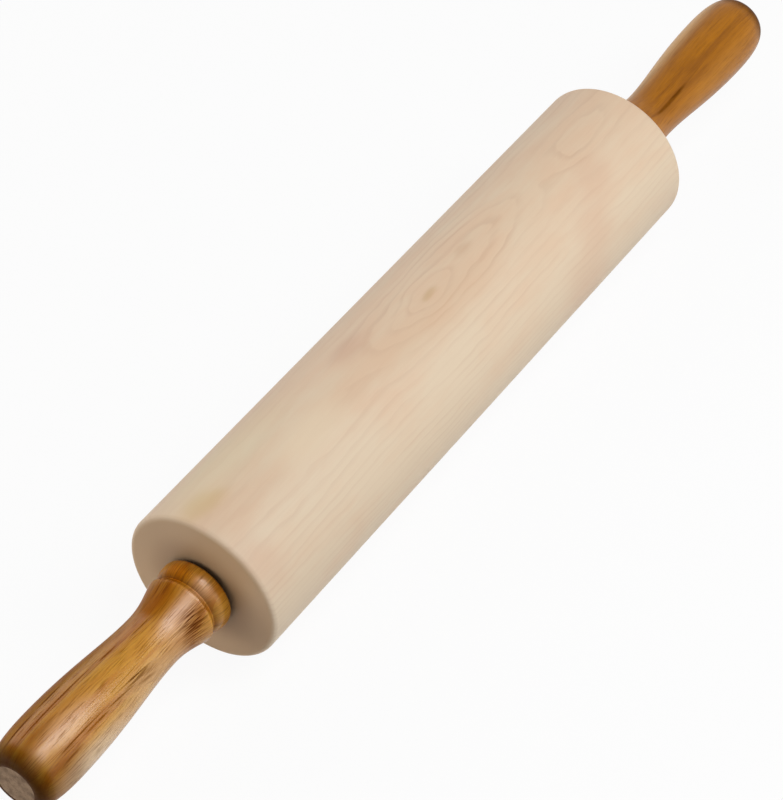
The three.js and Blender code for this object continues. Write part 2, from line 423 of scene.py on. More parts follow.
@dataclass(frozen=True)
class Mark:
    """An oval on the upper half of a turned face, and how much happens in it.

    Middle and spread are in millimetres, along and across the pin.
    """

    middle: tuple[float, float]
    spread: tuple[float, float]
    amount: float

    def bell(self, face: TurnedFace) -> Node:
        """A blunt bell curve round the mark: exp of minus half the cubed scaled distance.

        The mark's height follows from the round: the root of radius squared less its place across,
        squared. Up and down, it spreads by the face's depth.

        Args:
            face: the face that it lies on.

        Returns:
            The node that gives the curve, 1 at the middle.
        """
        tree = face.tree
        height = math.sqrt(max(face.radius_mm ** 2 - self.middle[1] ** 2, 0.0))
        shrink = (1 / self.spread[0], 1 / self.spread[1], 1 / face.depth_mm)
        middle = (*self.middle, height)
        offset = add_node(tree, "VectorMath", {0: face.place, 1: middle}, operation="SUBTRACT")
        scaled = add_node(tree, "VectorMath", {0: offset, 1: shrink}, operation="MULTIPLY")
        square = add_node(tree, "VectorMath", {0: scaled, 1: scaled}, operation="DOT_PRODUCT")
        cube = add_node(tree, "Math", {0: square.outputs["Value"], 1: 1.5}, operation="POWER")
        half = add_node(tree, "Math", {0: cube, 1: -0.5}, operation="MULTIPLY")
        return add_node(tree, "Math", {0: half}, operation="EXPONENT")

    def share(self, face: TurnedFace) -> Node:
        """The mark's amount, spread by its bell curve."""
        return add_node(face.tree, "Math", {0: self.bell(face), 1: self.amount}, operation="MULTIPLY")


@dataclass(frozen=True)
class Tint(Mark):
    """A mark of another colour; its amount is the share of that colour."""

    colour: str


@dataclass(frozen=True)
class OiledMaple:
    """Hard maple, turned, sanded and oiled.

    Pale wood with a satin face, pinker over the top and the +Y side and creamier down the -Y side.
    Flat-sawn growth rings draw faint broken loops along the top and long faint lines beside them. A
    pin knot sits in the loops, and pink, golden and creamy stains lie round it and towards the ends.
    The end faces cut the rings across and drink more oil, so they are browner; round the bore they
    are darker still, which is painted shade of the collar.
    """

    cream: str = "#DDC9AE"
    blush: str = "#DCBFA2"
    late_wood: str = "#B88C70"
    end_tone: str = "#C2A37F"
    # colour of the painted shade of the collar on the end faces, round the bore
    collar_shade_tone: str = "#8C6A48"
    ring_mm: float = 2.3
    pith_depth_mm: float = 92.0
    sway_mm: tuple[float, float, float] = (26.0, 5.0, 5.0)
    radius_mm: float = CAD_BOX[1][2] / MM
    mark_depth_mm: float = 14.0
    tints: tuple[Tint, ...] = (
        Tint((-0.6, -1.6), (4.0, 1.4), 0.36, "#B28A4A"),
        Tint((30.5, 1.5), (5.5, 2.2), 0.3, "#BE9270"),
        Tint((-41.0, 8.0), (9.0, 4.5), 0.32, "#BC8E76"),
        Tint((-142.0, 6.5), (8.0, 4.5), 0.4, "#C3A052"),
        Tint((-118.0, 15.0), (30.0, 9.0), 0.45, "#DBCBA6"),
        Tint((-87.0, -6.5), (17.0, 6.5), 0.55, "#E6D5B8"),
        Tint((-145.0, -24.0), (8.0, 9.0), 0.3, "#CFA285"),
        Tint((106.0, -17.0), (9.0, 7.5), 0.3, "#CFA285"),
        Tint((90.0, -28.0), (10.0, 7.0), 0.32, "#CFA285"),
        Tint((74.0, -35.0), (13.0, 7.0), 0.3, "#CFA285"),
        Tint((-5.0, -11.0), (30.0, 6.0), 0.28, "#D0A986"),
    )
    swirls: tuple[Mark, ...] = (
        Mark((0.0, -1.5), (14.0, 5.6), 2.6),
        Mark((18.0, -1.0), (40.0, 13.0), 5.2),
        Mark((120.0, -0.5), (20.0, 8.0), 3.4),
    )

    def material(self) -> Material:
        """Build the maple.

        Returns:
            The material.
        """
        material, tree = start_material("maple_turned_sanded_and_oiled")
        place = place_in_mm(tree)
        axes = add_node(tree, "SeparateXYZ", {"Vector": place})

        # Rings are shells round a pith below the barrel, made wavy by slow noise along the grain and
        # lifted by the swirls.
        sway = sized_noise(tree, place, size_mm=(60.0, 22.0, 22.0), detail=3.0, roughness=0.64)
        centred = add_node(tree, "VectorMath", {0: sway.outputs["Color"], 1: (-0.5, -0.5, -0.5)},
                           operation="ADD")
        shift = add_node(tree, "VectorMath", {0: centred, 1: self.sway_mm}, operation="MULTIPLY")
        wavy = add_node(tree, "VectorMath", {0: place, 1: shift}, operation="ADD")
        to_pith = (0.0, 0.0, self.pith_depth_mm)
        from_pith = add_node(tree, "VectorMath", {0: wavy, 1: to_pith}, operation="ADD")
        across = add_node(tree, "VectorMath", {0: from_pith, 1: ACROSS}, operation="MULTIPLY")
        depth = add_node(tree, "VectorMath", {0: across}, operation="LENGTH")
        shell = depth.outputs["Value"]
        swirled = 0.0
        face = TurnedFace(tree, wavy, self.radius_mm, self.mark_depth_mm)
        for swirl in self.swirls:
            bell = swirl.bell(face)
            shell = add_node(tree, "Math", {0: bell, 1: swirl.amount, 2: shell}, operation="MULTIPLY_ADD")
            swirled = add_node(tree, "Math", {0: bell, 1: swirled}, operation="MAXIMUM")
        ring = add_node(tree, "Math", {0: shell, 1: self.ring_mm}, operation="DIVIDE")
        phase = add_node(tree, "Math", {0: ring}, operation="FRACT")

        # Each ring darkens slowly into its late wood and ends soon after. Rings come and go, and show
        # more in the swirls.
        darkening = add_node(tree, "MapRange", {"Value": phase, "From Min": 0.42, "From Max": 0.88},
                             interpolation_type="SMOOTHSTEP")
        ending = add_node(tree, "MapRange",
                          {"Value": phase, "From Min": 0.88, "From Max": 1.0, "To Min": 1.0, "To Max": 0.0},
                          interpolation_type="SMOOTHSTEP")
        line = add_node(tree, "Math", {0: darkening, 1: ending}, operation="MULTIPLY")
        strength = sized_noise(tree, place, size_mm=(45.0, 8.0, 8.0), detail=2.0)
        presence = add_node(tree, "MapRange", {"Value": strength, "From Min": 0.3, "From Max": 0.62})
        contrast = add_node(tree, "MapRange", {"Value": swirled, "To Min": 0.13, "To Max": 0.33})
        shown = add_node(tree, "Math", {0: presence, 1: contrast}, operation="MULTIPLY")
        line = add_node(tree, "Math", {0: line, 1: shown}, operation="MULTIPLY")

        # A pinker tone comes and goes in slow waves; towards the -Y side it is held back to cream.
        tone = sized_noise(tree, wavy, size_mm=(42.0, 11.0, 11.0), detail=3.0, roughness=0.6)
        side_bias = add_node(tree, "MapRange", {"Value": axes.outputs["Y"], "From Min": -34.0, "From Max": -8.0,
                                            "To Min": -0.18, "To Max": 0.1})
        pinker = add_node(tree, "Math", {0: tone, 1: side_bias}, operation="ADD")
        blend = add_node(tree, "MapRange", {"Value": pinker, "From Min": 0.32, "From Max": 0.68})

        # Real fibres are hair-fine; they are drawn 0.6 mm wide so that they show at all.
        fibre = sized_noise(tree, place, size_mm=(30.0, 0.6, 0.6), detail=2.0)
        fibres = add_node(tree, "MapRange", {"Value": fibre, "From Min": 0.4, "From Max": 0.8,
                                             "To Min": 0.0, "To Max": 0.06})
        marked = add_node(tree, "Math", {0: line, 1: fibres}, operation="ADD")

        # Stains lie over the grain and end grain takes its own tone. Round the bore, next to the collar,
        # the end grain is darkened further: painted shade of the collar on the end face.
        ends = add_node(tree, "Attribute", attribute_name="end_grain")
        soaked = add_node(tree, "MapRange", {"Value": ends.outputs["Fac"], "From Min": 0.58,
                                             "From Max": 1.0})
        aside = add_node(tree, "VectorMath", {0: place, 1: ACROSS}, operation="MULTIPLY")
        from_axis = add_node(tree, "VectorMath", {0: aside}, operation="LENGTH")
        collar_shade_reach = add_node(tree, "MapRange", {"Value": from_axis.outputs["Value"], "From Min": 15.0,
                                            "From Max": 29.0, "To Min": 0.46, "To Max": 0.0},
                         interpolation_type="SMOOTHSTEP")
        painted_collar_shade = add_node(tree, "Math", {0: collar_shade_reach, 1: soaked}, operation="MULTIPLY")
        colour = layered(tree, self.cream, [
            (blend, self.blush),
            (marked, self.late_wood),
            *((tint.share(face), tint.colour) for tint in self.tints),
            (soaked, self.end_tone),
            (painted_collar_shade, self.collar_shade_tone),
        ])

        sheen = add_node(tree, "MapRange", {"Value": fibre, "To Min": 0.46, "To Max": 0.6})
        relief = add_node(tree, "Bump", {"Strength": 0.08, "Distance": 0.05 * MM, "Height": fibre})
        shader = add_node(tree, "BsdfPrincipled", {"Base Color": colour, "Roughness": sheen, "IOR": 1.45,
                                                   "Normal": relief})
        add_node(tree, "OutputMaterial", {"Surface": shader})
        return material


@dataclass(frozen=True)
class StainedHandleWood:
    """Ring-porous hardwood, turned, stained golden brown and lacquered.

    The stain sits dark in the open pores, which gather in bundles of long lines where a growth year
    starts. The veins are the darkest of these lines, and the clusters are patches of short dashes.
    Soaks are patches that drank more stain; the two at the butt's rounding are partly painted shade.
    The painted highlights are pale patches laid where the lamps' highlights and pale reflections
    fall: painted light. End grain drinks most, and the last millimetres before the butt darken
    further, nearly to black: stain and painted shade together. The lacquer lays a soft gloss over
    the wood, sinks away where it is soaked or open, and keeps faint rings from the lathe.
    """

    name: str
    honey: str = "#D0942C"
    amber: str = "#B66E08"
    pore: str = "#582600"
    butt: str = "#321600"
    year_mm: float = 15.0
    first_year_mm: float = -13.0
    year_sway_mm: float = 1.2
    year_depth: float = 0.16
    pore_mm: float = 0.42
    dash_mm: float = 8.0
    lathe_ring_mm: float = 0.9
    butt_mm: float = CAD_BOX[1][0] / MM
    butt_darkening_mm: float = 11.0
    bundle_share: float = 0.22
    dash_share: float = 0.45
    lacquer: float = 0.6
    mean_radius_mm: float = 14.0
    mark_depth_mm: float = 12.0
    veins: tuple[Mark, ...] = ()
    clusters: tuple[Mark, ...] = ()
    soaks: tuple[Tint, ...] = ()
    painted_highlights: tuple[Tint, ...] = ()

    def material(self) -> Material:
        """Build the stained wood.

        Returns:
            The material.
        """
        material, tree = start_material(self.name)
        place = place_in_mm(tree)
        axes = add_node(tree, "SeparateXYZ", {"Vector": place})
        face = TurnedFace(tree, place, self.mean_radius_mm, self.mark_depth_mm)

        # Growth years are nearly flat layers across Y, bent a little by slow noise.
        sway = sized_noise(tree, place, size_mm=(80.0, 16.0, 16.0), detail=1.0)
        bend = add_node(tree, "MapRange", {"Value": sway, "To Min": -self.year_sway_mm,
                                           "To Max": self.year_sway_mm})
        layer = add_node(tree, "Math", {0: axes.outputs["Y"], 1: bend}, operation="ADD")
        from_first = add_node(tree, "Math", {0: layer, 1: self.first_year_mm}, operation="SUBTRACT")
        year = add_node(tree, "Math", {0: from_first, 1: self.year_mm}, operation="DIVIDE")
        season = add_node(tree, "Math", {0: year}, operation="FRACT")
        early = add_node(tree, "MapRange",
                         {"Value": season, "From Min": 0.06, "From Max": 0.22, "To Min": 1.0, "To Max": 0.0},
                         interpolation_type="SMOOTHSTEP")

        # Pores lie in thin sheets across Y, so the turned face cuts them in long lines, broken here and
        # there. Real ones are 0.2 mm wide; they are drawn about twice as wide so that they show.
        run = sized_noise(tree, place, size_mm=(45.0, self.pore_mm, 3.0), detail=1.0)
        groove = add_node(tree, "MapRange", {"Value": run, "From Min": 0.46, "From Max": 0.62},
                          interpolation_type="SMOOTHSTEP")
        gap = sized_noise(tree, place, size_mm=(16.0, 2.5, 4.0), detail=2.0)
        unbroken = add_node(tree, "MapRange", {"Value": gap, "From Min": 0.34, "From Max": 0.54,
                                               "To Min": 0.45, "To Max": 1.0})
        bundle = add_node(tree, "Math", {0: groove, 1: early}, operation="MULTIPLY")
        pores = add_node(tree, "Math", {0: bundle, 1: self.bundle_share}, operation="MULTIPLY")
        for vein in self.veins:
            pores = add_node(tree, "Math", {0: pores, 1: vein.share(face)}, operation="MAXIMUM")
        pores = add_node(tree, "Math", {0: pores, 1: unbroken}, operation="MULTIPLY")

        # Between the bundles the pores are short dashes, which thicken in the clusters. They follow the
        # turned face: their noise runs on place along the pin and angle round it.
        aside = add_node(tree, "VectorMath", {0: place, 1: ACROSS}, operation="MULTIPLY")
        round_axis = add_node(tree, "VectorMath", {0: aside}, operation="NORMALIZE")
        dashes_along = (1 / self.dash_mm, 0.0, 0.0)
        along = add_node(tree, "VectorMath", {0: place, 1: dashes_along}, operation="MULTIPLY")
        dashes_round = (self.mean_radius_mm / self.pore_mm,) * 3
        dashed = add_node(tree, "VectorMath", {0: round_axis, 1: dashes_round, 2: along},
                          operation="MULTIPLY_ADD")
        dash = add_node(tree, "TexNoise", {"Vector": dashed, "Scale": 1.0, "Detail": 1.0})
        stray = add_node(tree, "MapRange", {"Value": dash, "From Min": 0.5, "From Max": 0.72,
                                            "To Min": 0.0, "To Max": self.dash_share})
        pores = add_node(tree, "Math", {0: pores, 1: stray}, operation="MAXIMUM")
        thick = add_node(tree, "MapRange", {"Value": dash, "From Min": 0.42, "From Max": 0.62})
        for cluster in self.clusters:
            patch = add_node(tree, "Math", {0: cluster.share(face), 1: thick}, operation="MULTIPLY")
            pores = add_node(tree, "Math", {0: pores, 1: patch}, operation="MAXIMUM")

        # The stain takes unevenly: broad streaks along the grip, darker where a year starts.
        streak = sized_noise(tree, place, size_mm=(60.0, 3.5, 3.5), detail=4.0, roughness=0.62)
        deeper = add_node(tree, "Math", {0: early, 1: self.year_depth, 2: streak}, operation="MULTIPLY_ADD")
        tone = add_node(tree, "MapRange", {"Value": deeper, "From Min": 0.36, "From Max": 0.7})

        # End grain takes the darkest stain. The last millimetres before the butt darken too: partly stain,
        # partly painted shade on the rounding.
        ends = add_node(tree, "Attribute", attribute_name="end_grain")
        steep = add_node(tree, "MapRange", {"Value": ends.outputs["Fac"], "From Min": 0.25, "From Max": 0.95,
                                            "To Min": 0.0, "To Max": 0.92})
        reach = add_node(tree, "Math", {0: axes.outputs["X"]}, operation="ABSOLUTE")
        butt_stain_and_shade = add_node(tree, "MapRange", {"Value": reach, "From Min": self.butt_mm - self.butt_darkening_mm,
                                                "From Max": self.butt_mm, "To Min": 0.0, "To Max": 0.92},
                             interpolation_type="SMOOTHSTEP")
        soaked = add_node(tree, "Math", {0: steep, 1: butt_stain_and_shade}, operation="MAXIMUM")
        soak_shares = [tint.share(face) for tint in self.soaks]
        colour = layered(tree, self.honey, [
            (tone, self.amber),
            *((tint.share(face), tint.colour) for tint in self.painted_highlights),
            *zip(soak_shares, (tint.colour for tint in self.soaks)),
            (pores, self.pore),
            (soaked, self.butt),
        ])

        # The lacquer sinks away in all that is soaked or open, so the dark wood keeps its warm colour.
        sunk = soaked
        for share in (*soak_shares, pores):
            sunk = add_node(tree, "Math", {0: share, 1: sunk}, operation="MAXIMUM")
        film = add_node(tree, "MapRange", {"Value": sunk, "From Min": 0.1, "From Max": 0.5,
                                           "To Min": self.lacquer, "To Max": 0.0})
        rings = add_node(tree, "TexNoise", {"W": axes.outputs["X"], "Scale": 1 / self.lathe_ring_mm,
                                            "Detail": 1.0}, noise_dimensions="1D")
        lathe = add_node(tree, "Bump", {"Strength": 0.06, "Distance": 0.05 * MM, "Height": rings})
        relief = add_node(tree, "Bump", {"Strength": 0.4, "Distance": 0.1 * MM, "Height": pores,
                                         "Normal": lathe}, invert=True)
        dull = add_node(tree, "MapRange", {"Value": pores, "To Min": 0.42, "To Max": 0.7})
        shader = add_node(tree, "BsdfPrincipled", {
            "Base Color": colour, "Roughness": dull, "IOR": 1.5, "Specular IOR Level": 0.05,
            "Coat Weight": film, "Coat Roughness": 0.22, "Coat IOR": 1.5, "Normal": relief,
            "Coat Normal": relief})
        add_node(tree, "OutputMaterial", {"Surface": shader})
        return material


STAINS = {
    Side.LEFT: StainedHandleWood(
        "hardwood_stained_and_lacquered_left",
        veins=(
            Mark((-207.0, -10.15), (8.0, 0.2), 0.95),
            Mark((-243.0, -11.05), (16.0, 0.2), 0.7),
            Mark((-204.0, -11.05), (7.0, 0.26), 1.0),
            Mark((-216.0, -11.55), (7.0, 0.2), 0.75),
            Mark((-231.0, -12.1), (6.0, 0.24), 0.9),
            Mark((-248.0, -13.3), (6.0, 0.24), 0.6),
            Mark((-203.0, -12.2), (5.0, 0.22), 0.7),
            Mark((-252.0, 7.3), (8.0, 0.4), 0.9),
            Mark((-234.0, 7.5), (6.0, 0.4), 0.85),
            Mark((-236.0, 3.1), (20.0, 0.34), 0.75),
            Mark((-236.0, -1.9), (3.5, 0.3), 0.45),
            Mark((-250.0, -1.1), (7.0, 0.6), 0.3),
            Mark((-206.0, 2.5), (4.5, 0.4), 0.85),
            Mark((-217.0, 1.7), (8.0, 0.3), 0.5),
            Mark((-188.0, 0.9), (5.0, 0.3), 0.85),
        ),
        clusters=(
            Mark((-172.5, -11.6), (6.5, 3.2), 1.0),
            Mark((-160.0, 2.0), (3.0, 4.0), 0.7),
            Mark((-204.0, -11.0), (8.0, 0.9), 0.7),
            Mark((-168.0, 6.0), (6.0, 4.0), 0.6),
        ),
        soaks=(
            Tint((-222.0, 11.0), (56.0, 4.2), 0.64, "#683200"),
            Tint((-212.0, 3.5), (66.0, 4.5), 0.26, "#683200"),
            Tint((-174.0, 3.5), (8.5, 6.5), 0.66, "#8A4800"),
            Tint((-161.0, 4.0), (3.8, 5.6), 0.66, "#BE6A00"),
            Tint((-172.5, -12.0), (5.0, 2.6), 0.4, "#8A4C08"),
            # These two darken the butt's rounding: partly stain, partly painted shade.
            Tint((-253.0, -14.0), (9.0, 5.0), 0.45, "#683200"),
            Tint((-254.0, -0.5), (8.0, 3.5), 0.3, "#683200"),
        ),
        # Pale patches where the highlights fall on grip, bell and bead, and along the pale right rim:
        # painted highlights and painted reflection.
        painted_highlights=(
            Tint((-238.0, -16.8), (28.0, 2.2), 0.8, "#ECD2AC"),
            Tint((-197.0, -13.4), (19.0, 3.2), 0.55, "#E4C08A"),
            Tint((-175.0, -6.8), (9.0, 3.2), 0.6, "#ECC0A0"),
            Tint((-160.5, -7.4), (2.6, 3.2), 0.5, "#E8B68E"),
            Tint((-244.0, -6.0), (14.0, 3.4), 0.5, "#E8B68E"),
        ),
    ),
    # The far handle is the same wood, with its colours set deeper and darker than the near one's: a shaded
    # copy, painted shade.
    Side.RIGHT: StainedHandleWood(
        "hardwood_stained_and_lacquered_right", honey="#AE6C00", amber="#945800", pore="#3A1600",
        first_year_mm=-8.2, dash_share=0.24, lacquer=0.36,
        veins=(Mark((188.0, -8.1), (10.0, 0.55), 1.0),),
        # Pale patches along both rims of the far handle: painted reflection.
        painted_highlights=(
            Tint((215.0, 11.0), (46.0, 4.2), 0.8, "#E0AE6C"),
            Tint((215.0, -14.0), (46.0, 3.0), 0.25, "#CC9040"),
        ),
    ),
}


@dataclass(frozen=True)
class RawPlugWood:
    """Bare hardwood plug, cut across the grain, sanded and left unfinished.

    Dull grey-brown end grain, speckled with pores, with no gloss at all.
    """

    pale: str = "#967A5E"
    dark: str = "#735A43"
    pore: str = "#4B3D33"
    cloud_mm: float = 3.0
    speck_mm: float = 0.8

    def material(self) -> Material:
        """Build the raw wood.

        Returns:
            The material.
        """
        material, tree = start_material("raw_end_grain_plug_sanded")
        place = place_in_mm(tree)
        cloudy = add_node(tree, "TexNoise", {"Vector": place, "Scale": 1 / self.cloud_mm, "Detail": 4.0})
        tone = add_node(tree, "MapRange", {"Value": cloudy, "From Min": 0.35, "From Max": 0.65})
        speck = add_node(tree, "TexVoronoi", {"Vector": place, "Scale": 1 / self.speck_mm})
        pores = add_node(tree, "MapRange", {"Value": speck.outputs["Distance"], "From Min": 0.12,
                                            "From Max": 0.3, "To Min": 0.7, "To Max": 0.0})
        colour = layered(tree, self.pale, [(tone, self.dark), (pores, self.pore)])
        relief = add_node(tree, "Bump", {"Strength": 0.3, "Distance": 0.08 * MM, "Height": pores},
                          invert=True)
        chalky = add_node(tree, "MapRange", {"Value": cloudy, "To Min": 0.7, "To Max": 0.9})
        shader = add_node(tree, "BsdfPrincipled", {"Base Color": colour, "Roughness": chalky, "IOR": 1.45,
                                                   "Normal": relief})
        add_node(tree, "OutputMaterial", {"Surface": shader})
        return material


@dataclass(frozen=True)
class WorkedSteel:
    """Bare or plated steel, marked by how it was worked.

    The tool leaves fine lines: along a drawn rod, round a ground race. Plating clouds the shine.
    """

    name: str
    bright: str
    dull: str
    roughness: float
    grain_mm: tuple[float, float, float]
    roughness_swing: float = 0.25

    def material(self) -> Material:
        """Build the steel.

        Returns:
            The material.
        """
        material, tree = start_material(self.name)
        mark = sized_noise(tree, place_in_mm(tree), self.grain_mm, detail=3.0)
        tone = add_node(tree, "MapRange", {"Value": mark, "From Min": 0.3, "From Max": 0.7})
        colour = layered(tree, self.bright, [(tone, self.dull)])
        shine = add_node(tree, "MapRange", {"Value": mark,
                                            "To Min": self.roughness * (1 - self.roughness_swing),
                                            "To Max": self.roughness * (1 + self.roughness_swing)})
        relief = add_node(tree, "Bump", {"Strength": 0.08, "Distance": 0.02 * MM, "Height": mark})
        shader = add_node(tree, "BsdfPrincipled", {"Base Color": colour, "Metallic": 1.0, "Roughness": shine,
                                                   "Normal": relief})
        add_node(tree, "OutputMaterial", {"Surface": shader})
        return material


@dataclass(frozen=True)
class MouldedNylon:
    """Natural nylon, injection moulded.

    Milky off-white with a soft shine and a faint orange-peel face from the mould.
    """

    milk: str = "#E7E1D2"
    shade: str = "#D8D0BD"
    cloud_mm: float = 1.2

    def material(self) -> Material:
        """Build the nylon.

        Returns:
            The material.
        """
        material, tree = start_material("nylon_natural_moulded")
        cloud = add_node(tree, "TexNoise", {"Vector": place_in_mm(tree), "Scale": 1 / self.cloud_mm,
                                            "Detail": 3.0})
        colour = layered(tree, self.milk, [(cloud, self.shade)])
        relief = add_node(tree, "Bump", {"Strength": 0.1, "Distance": 0.03 * MM, "Height": cloud})
        shine = add_node(tree, "MapRange", {"Value": cloud, "To Min": 0.3, "To Max": 0.46})
        shader = add_node(tree, "BsdfPrincipled", {"Base Color": colour, "Roughness": shine, "IOR": 1.53,
                                                   "Normal": relief})
        add_node(tree, "OutputMaterial", {"Surface": shader})
        return material


# Sub-assemblies


@dataclass
class Barrel:
    """The maple barrel: a plain cylinder with rounded rims, bored for the axle, seated for bearings."""

    half_length: float
    radius: float
    seat_radius: float
    seat_floor: float
    rim_round: float = 2.5
    shoulder: float = 3.15
    mouth_ease: float = 0.25
    side_steps: int = 60
    rim_steps: int = 15
    face_steps: int = 12
    sides: int = 256

    @classmethod
    def from_frame(cls) -> "Barrel":
        """Take the barrel's sizes from its own node and from the bearing that sits in it.

        Returns:
            The barrel.
        """
        _, high = node_span("barrel")
        race_low, race_high = node_span(Side.RIGHT.node("outer_race"))
        return cls(half_length=high[0], radius=high[2], seat_radius=race_high[2] + FIT_GAP_MM,
                   seat_floor=race_low[0] - FIT_GAP_MM)

    def outline(self) -> np.ndarray:
        """Closed outline of the barrel.

        The right half runs out along the side, round the rim by a quarter circle, down the end face,
        into the bearing seat and back along the bore; the left half is its mirror image.

        Returns:
            Points as (place, radius).
        """
        rim_place = self.half_length - self.rim_round
        rim_radius = self.radius - self.rim_round
        turn = np.linspace(0.0, math.pi / 2, self.rim_steps)
        side = np.column_stack([np.linspace(0.0, rim_place, self.side_steps),
                                np.full(self.side_steps, self.radius)])
        rim = np.column_stack([rim_place + self.rim_round * np.sin(turn),
                               rim_radius + self.rim_round * np.cos(turn)])
        mouth = self.seat_radius + self.mouth_ease
        face = np.column_stack([np.full(self.face_steps, self.half_length),
                                np.linspace(rim_radius, mouth, self.face_steps)])
        bore_radius = self.seat_radius - self.shoulder
        inside = np.array([
            (self.half_length - self.mouth_ease, self.seat_radius),
            (self.seat_floor, self.seat_radius),
            (self.seat_floor, bore_radius),
            (0.0, bore_radius),
        ])
        right = undoubled(np.vstack([side, rim, face, inside]))
        left = right[::-1] * (-1, 1)
        return undoubled(np.vstack([right, left[1:-1]]))

    def build(self, maple: Material) -> Object:
        """Turn the barrel and dress it.

        Args:
            maple: the barrel's material.

        Returns:
            The piece.
        """
        outline = self.outline()
        grid = turned(outline[:, 0], outline[:, 1], self.sides)
        piece = skin("barrel_turned", grid, ring=True, marks={"end_grain": end_grain_of(outline, ring=True)})
        return install(piece, maple, Body.TURNING.value, Slot.MAPLE, "barrel")


@dataclass
class Handle:
    """One turned handle, with the plug that closes its butt.

    Places are measured from the collar's face, outwards.
    """

    side: Side
    collar_place: float
    length: float
    plug_radius: float
    plug_length: float
    collar_face_radius: float = 14.5
    collar_radius: float = 16.0
    collar_crest: float = 2.8
    groove_radius: float = 13.9
    groove_place: float = 9.3
    bell_radius: float = 15.35
    bell_place: float = 11.6
    bell_lip: float = 0.7
    waist_radius: float = 12.1
    waist_place: float = 29.5
    swell_radius: float = 15.7
    swell_to_butt: float = 22.5
    butt_rim: float = 0.5
    stud_hole_radius: float = 3.425
    pocket_radius: float = 8.25
    pocket_floor: float = 91.2
    collar_fullness: float = 0.6
    bell_flare: float = 0.3
    bell_drop: float = 0.4
    waist_hollow: float = 0.4
    grip_start: float = 0.27
    grip_fullness: float = 0.47
    butt_fullness: float = 0.6
    butt_rounding: float = 0.26
    plug_ease: float = 0.12
    plug_chamfer: float = 0.4
    plug_sides: int = 96
    sides: int = 192

    @classmethod
    def from_frame(cls, side: Side) -> "Handle":
        """Take the handle's place, length and plug from its CAD nodes.

        Args:
            side: which end of the pin.

        Returns:
            The handle.
        """
        low, high = node_span(Side.RIGHT.node("handle"))
        plug_low, plug_high = node_span(Side.RIGHT.node("plug"))
        return cls(side=side, collar_place=low[0], length=high[0] - low[0], plug_radius=plug_high[2],
                   plug_length=plug_high[0] - plug_low[0])

    def outline(self) -> np.ndarray:
        """Closed outline of the handle.

        Two quadratic curves make the collar bead, a cubic falls from the bell to the waist, a second
        swells to the grip and a third rounds the butt; straight lines close it round the plug's seat,
        the nut's pocket and the stud's hole.

        Returns:
            Points as (place, radius), measured from the collar's face.
        """
        plug_wall = self.plug_radius + FIT_GAP_MM
        butt = plug_wall + self.butt_rim
        swell_place = self.length - self.swell_to_butt
        lip_end = self.bell_place + self.bell_lip
        fall = self.waist_place - self.bell_place
        grip = swell_place - self.waist_place
        bead_bottom = self.collar_crest + (self.groove_place - self.collar_crest) * self.collar_fullness
        seat = self.length - self.plug_length - FIT_GAP_MM
        return undoubled(np.vstack([
            [(0.0, self.stud_hole_radius)],
            bezier((0.0, self.collar_face_radius), (0.0, self.collar_radius),
                   (self.collar_crest, self.collar_radius), steps=16),
            bezier((self.collar_crest, self.collar_radius), (bead_bottom, self.collar_radius),
                   (self.groove_place, self.groove_radius), steps=20),
            bezier((self.groove_place, self.groove_radius), (self.bell_place, self.bell_radius), steps=6),
            bezier((self.bell_place, self.bell_radius), (lip_end, self.bell_radius), steps=3),
            bezier((lip_end, self.bell_radius),
                   (self.bell_place + fall * self.bell_flare,
                    self.bell_radius + (self.waist_radius - self.bell_radius) * self.bell_drop),
                   (self.waist_place - fall * self.waist_hollow, self.waist_radius),
                   (self.waist_place, self.waist_radius), steps=28),
            bezier((self.waist_place, self.waist_radius),
                   (self.waist_place + grip * self.grip_start, self.waist_radius),
                   (swell_place - grip * self.grip_fullness, self.swell_radius),
                   (swell_place, self.swell_radius), steps=60),
            bezier((swell_place, self.swell_radius),
                   (swell_place + self.swell_to_butt * self.butt_fullness, self.swell_radius),
                   (self.length, self.swell_radius + (butt - self.swell_radius) * self.butt_rounding),
                   (self.length, butt), steps=44),
            [(self.length, plug_wall), (seat, plug_wall), (seat, self.pocket_radius),
             (self.pocket_floor, self.pocket_radius), (self.pocket_floor, self.stud_hole_radius)],
        ]))

    def plug_outline(self) -> np.ndarray:
        """Outline of the plug, from the middle of its inner face over its rim to that of its outer face.

        Returns:
            Points as (place, radius), measured from the collar's face.
        """
        start = self.length - self.plug_length
        return np.vstack([
            [(start, 0.0), (start, self.plug_radius - self.plug_chamfer),
             (start + self.plug_chamfer, self.plug_radius)],
            bezier((self.length - self.plug_ease, self.plug_radius), (self.length, self.plug_radius),
                   (self.length, self.plug_radius - self.plug_ease), steps=5),
            [(self.length, self.plug_radius / 2), (self.length, 0.0)],
        ])

    def build(self, stained: Material, raw: Material) -> list[Object]:
        """Turn the handle and its plug and dress them.

        Args:
            stained: the handle's material.
            raw: the plug's material.

        Returns:
            The handle and the plug.
        """
        sign = self.side.value
        outline = self.outline()
        grid = turned(sign * (self.collar_place + outline[:, 0]), outline[:, 1], self.sides)
        handle = skin(self.side.node("handle_turned"), grid, ring=True,
                      marks={"end_grain": end_grain_of(outline, ring=True)})
        closing = self.plug_outline()
        grid = turned(sign * (self.collar_place + closing[:, 0]), closing[:, 1], self.plug_sides)
        plug = skin(self.side.node("plug_cut"), grid, ring=False)
        return [
            install(handle, stained, Body.FIXED.value, Slot.STAINED, self.side.node("handle")),
            install(plug, raw, Body.FIXED.value, Slot.RAW, self.side.node("plug")),
        ]


